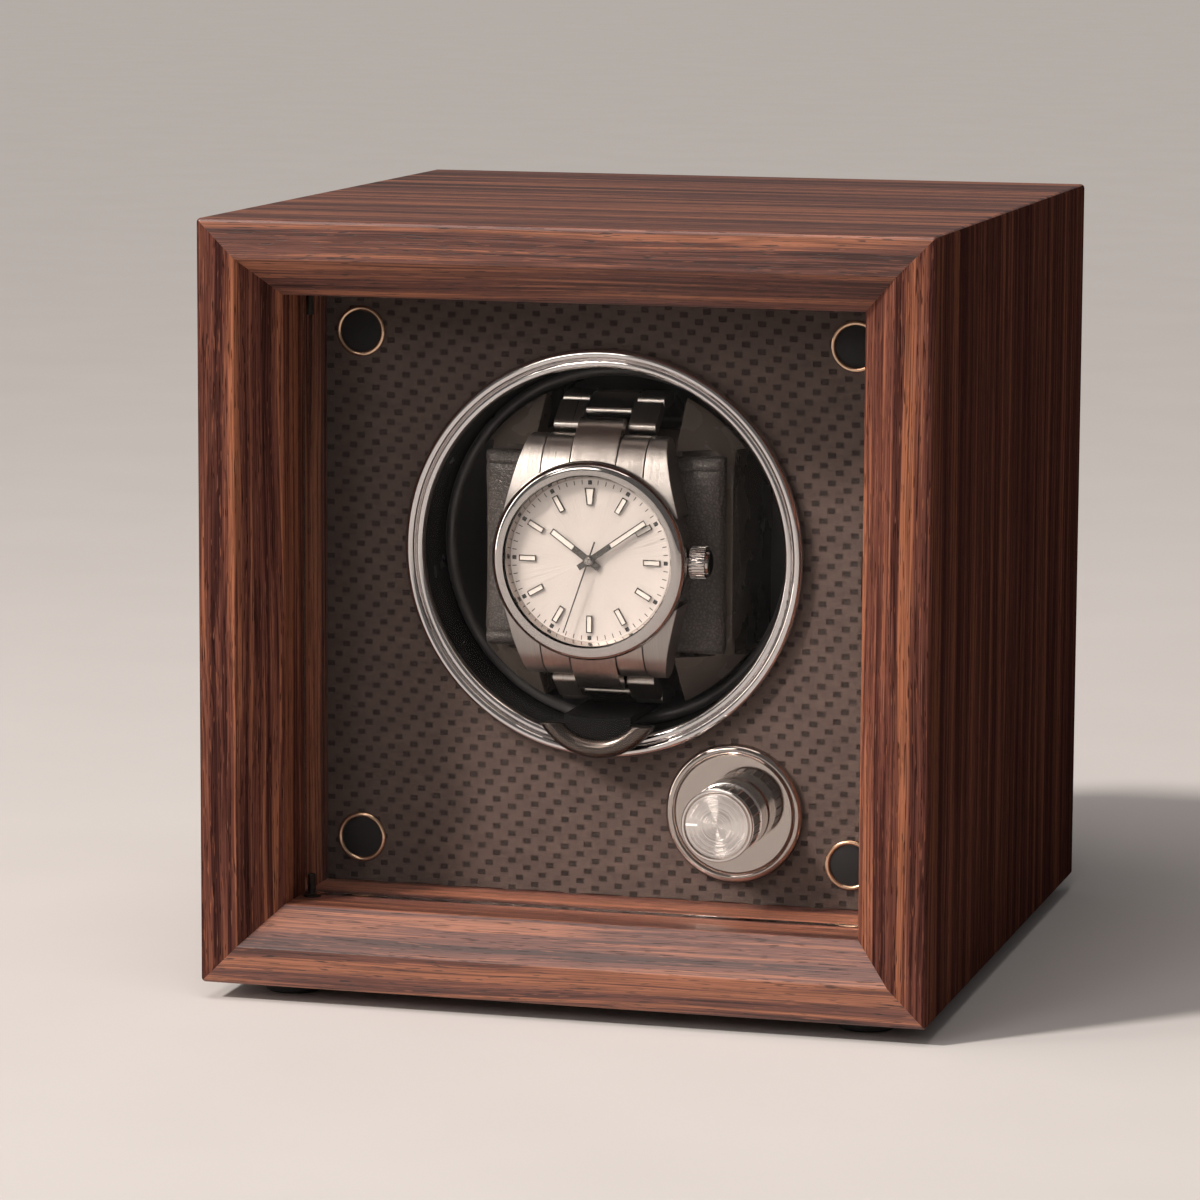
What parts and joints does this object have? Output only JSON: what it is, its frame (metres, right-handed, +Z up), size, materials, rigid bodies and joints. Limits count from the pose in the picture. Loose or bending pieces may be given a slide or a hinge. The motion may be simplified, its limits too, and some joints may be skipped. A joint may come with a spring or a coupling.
{
  "type": "watch winder box",
  "caption": "Wooden watch winder box with a hinged clear door, a woven fascia, a belt-driven drum that turns a bracelet watch on its holder, and a speed knob.",
  "frame": {"origin": "under the middle of the case, on the surface the feet stand on", "axes": "+Z up, the clear door faces -Y, +X to the right as seen from the front"},
  "size_m": [0.15, 0.16, 0.1585],
  "materials": {
    "wood_across": "satin",
    "wood_upright": "satin",
    "inner_wood": "unfinished",
    "rear_board": "satin",
    "fibre_board": "unfinished",
    "zinc_steel": "zinc plated",
    "foot_rubber": "matte",
    "weave": "coarse weave",
    "cap_black": "gloss",
    "ring_brass": "polished",
    "bezel_chrome": "polished",
    "housing_black": "satin gloss",
    "plate_steel": "rolled",
    "bush_bronze": "sintered",
    "motor_steel": "zinc plated",
    "belt_rubber": "matte",
    "switch_plastic": "satin",
    "rosette_mirror": "mirror",
    "circuit_board": "solder mask",
    "part_black": "satin",
    "pillar_nylon": "satin",
    "inlet_black": "satin",
    "lead_jacket": "satin",
    "clear_pane": "clear",
    "pin_steel": "ground",
    "cup_grey": "satin",
    "pulley_black": "satin",
    "holder_black": "satin",
    "pad_leather": "grained",
    "lip_gunmetal": "dark polished",
    "watch_steel": "brushed",
    "watch_polish": "polished",
    "crystal": "clear",
    "dial_cream": "sunray satin",
    "marker_steel": "polished",
    "hand_steel": "polished",
    "link_outer": "brushed",
    "link_centre": "fine brushed",
    "pulley_brass": "turned",
    "knob_side": "satin",
    "knob_spun": "spun"
  },
  "bodies": {
    "case": {"board_parts": "part_black", "board_pillars": "pillar_nylon", "case_bottom": "wood_across", "case_left": "wood_upright", "case_right": "wood_upright", "case_top": "wood_across", "control_board": "circuit_board", "corner_tongues": "inner_wood", "door_bushes": "pillar_nylon", "door_catch": "inlet_black", "drive_belt": "belt_rubber", "drive_plate": "plate_steel", "drive_screws": "zinc_steel", "drum_bezel": "bezel_chrome", "drum_housing": "housing_black", "fascia_board": "fibre_board", "fascia_cleats": "inner_wood", "fascia_cloth": "weave", "fascia_screws": "zinc_steel", "feet": "foot_rubber", "gear_motor": "motor_steel", "inner_leads": "lead_jacket", "knob_rosette": "rosette_mirror", "panel_nuts": "zinc_steel", "power_inlet": "inlet_black", "rear_panel": "rear_board", "rear_screws": "zinc_steel", "screw_caps": "cap_black", "selector_switch": "switch_plastic", "shaft_bushes": "bush_bronze", "trim_rings": "ring_brass"},
    "door": {"door_pane": "clear_pane", "door_pins": "pin_steel", "door_strike": "pin_steel"},
    "drum": {"drum_cup": "cup_grey", "drum_shaft": "pin_steel", "drum_pulley": "pulley_black", "holder_cheeks": "holder_black", "holder_core": "holder_black", "holder_pad": "pad_leather", "pull_lip": "lip_gunmetal", "watch_case": "watch_steel", "watch_bezel": "watch_polish", "watch_crystal": "crystal", "watch_dial": "dial_cream", "hour_markers": "marker_steel", "case_back": "watch_steel", "bracelet_outer_links": "link_outer", "bracelet_centre_links": "link_centre", "bracelet_clasp": "watch_steel"},
    "motor_spindle": {"motor_pulley": "pulley_brass", "motor_shaft": "pin_steel"},
    "knob": {"knob_body": "knob_side", "knob_cap": "knob_spun", "selector_shaft": "pin_steel"},
    "hour_hand": {"hour_hand": "hand_steel"},
    "minute_hand": {"minute_hand": "hand_steel"},
    "seconds_hand": {"seconds_hand": "hand_steel"},
    "crown_stem": {"crown_stem": "pin_steel"},
    "winding_crown": {"winding_crown": "watch_polish"}
  },
  "joints": [
    {"name": "door_swing", "type": "hinge", "parent": "case", "child": "door", "pos_m": [-0.0568, -0.06299, 0.081], "axis": [0, 0, -1], "range_deg": [0, 95]},
    {"name": "drum_spin", "type": "hinge", "parent": "case", "child": "drum", "pos_m": [0, 0, 0.0899], "axis": [0, 1, 0], "continuous": true},
    {"name": "motor_spin", "type": "hinge", "parent": "case", "child": "motor_spindle", "pos_m": [-0.03003, 0, 0.03992], "axis": [0, 1, 0], "continuous": true},
    {"name": "knob_turn", "type": "hinge", "parent": "case", "child": "knob", "pos_m": [0.0277, 0, 0.0378], "axis": [0, 1, 0], "range_deg": [-60, 240]},
    {"name": "seconds_run", "type": "hinge", "parent": "drum", "child": "seconds_hand", "pos_m": [0, 0, 0.0899], "axis": [0, 1, 0], "continuous": true},
    {"name": "minute_run", "type": "hinge", "parent": "drum", "child": "minute_hand", "pos_m": [0, 0, 0.0899], "axis": [0, 1, 0], "continuous": true},
    {"name": "hour_run", "type": "hinge", "parent": "drum", "child": "hour_hand", "pos_m": [0, 0, 0.0899], "axis": [0, 1, 0], "continuous": true},
    {"name": "crown_pull", "type": "slide", "parent": "drum", "child": "crown_stem", "axis": [1, 0, 0], "range_m": [0, 0.0014]},
    {"name": "crown_turn", "type": "hinge", "parent": "crown_stem", "child": "winding_crown", "pos_m": [0.0223, -0.05249, 0.0899], "axis": [1, 0, 0], "continuous": true}
  ],
  "couplings": [
    {"joint": "motor_spin", "follows": "drum_spin", "ratio": 5},
    {"joint": "minute_run", "follows": "seconds_run", "ratio": 0.016667},
    {"joint": "hour_run", "follows": "seconds_run", "ratio": 0.0013889}
  ]
}
